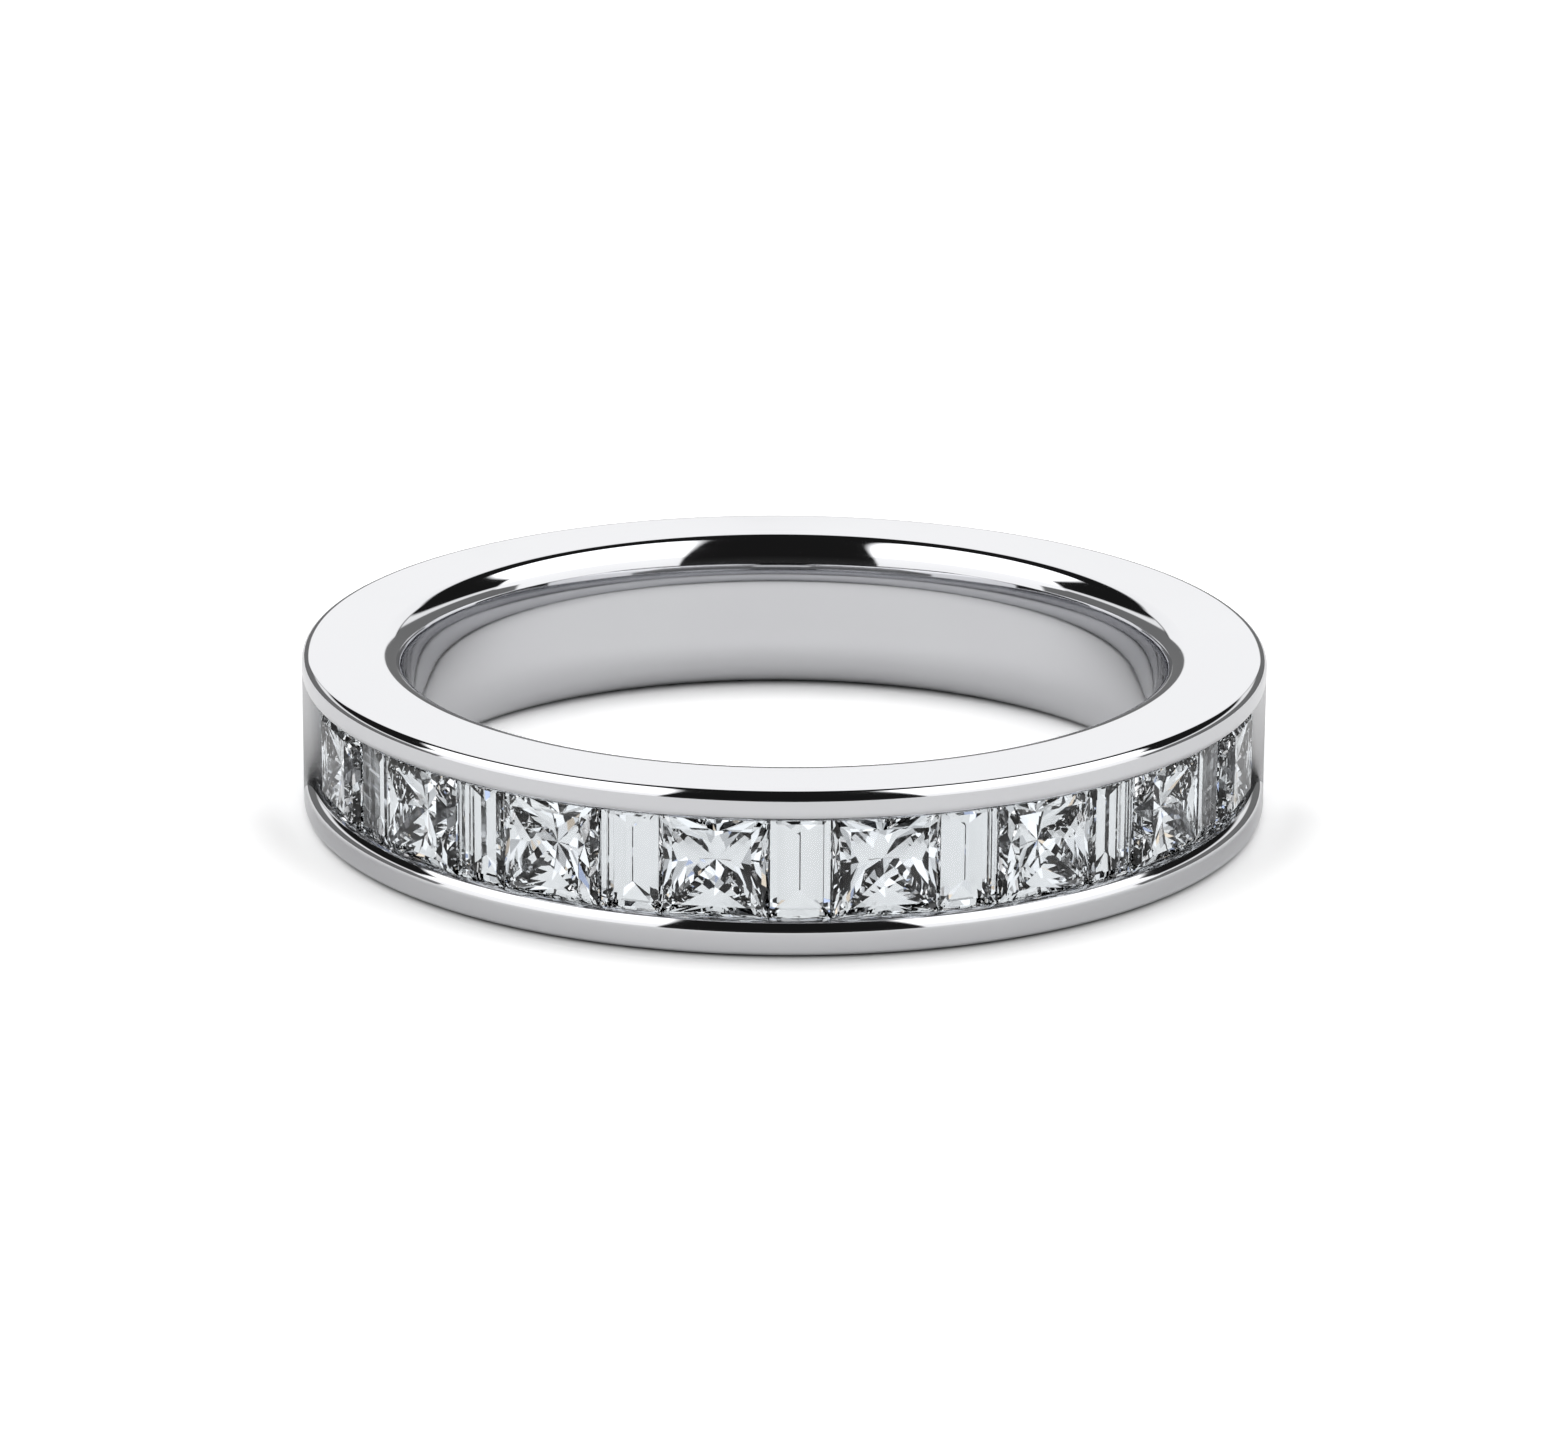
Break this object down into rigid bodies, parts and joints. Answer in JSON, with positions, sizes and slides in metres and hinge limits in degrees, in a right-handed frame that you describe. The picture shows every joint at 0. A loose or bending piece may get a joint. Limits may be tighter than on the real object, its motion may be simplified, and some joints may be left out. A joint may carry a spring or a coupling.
{
  "type": "wedding ring",
  "caption": "Polished flat wedding band with comfort-fit inside and a channel of alternating princess and baguette stones across its front half.",
  "frame": {"origin": "on the ring's axis, in the plane of the side face that the ring lies on", "axes": "+Z along the ring's axis, upward as it lies on its side; the middle stone faces -Y; +X to the right as seen from the stones"},
  "size_m": [0.0208, 0.0208, 0.0035],
  "materials": {
    "metal": "mirror-polished platinum",
    "stone": "polished diamond facets"
  },
  "bodies": {
    "root": {"band": "metal", "princess_1": "stone", "princess_2": "stone", "princess_3": "stone", "princess_4": "stone", "princess_5": "stone", "princess_6": "stone", "princess_7": "stone", "princess_8": "stone", "baguette_1": "stone", "baguette_2": "stone", "baguette_3": "stone", "baguette_4": "stone", "baguette_5": "stone", "baguette_6": "stone", "baguette_7": "stone", "baguette_8": "stone", "baguette_9": "stone"}
  },
  "joints": []
}
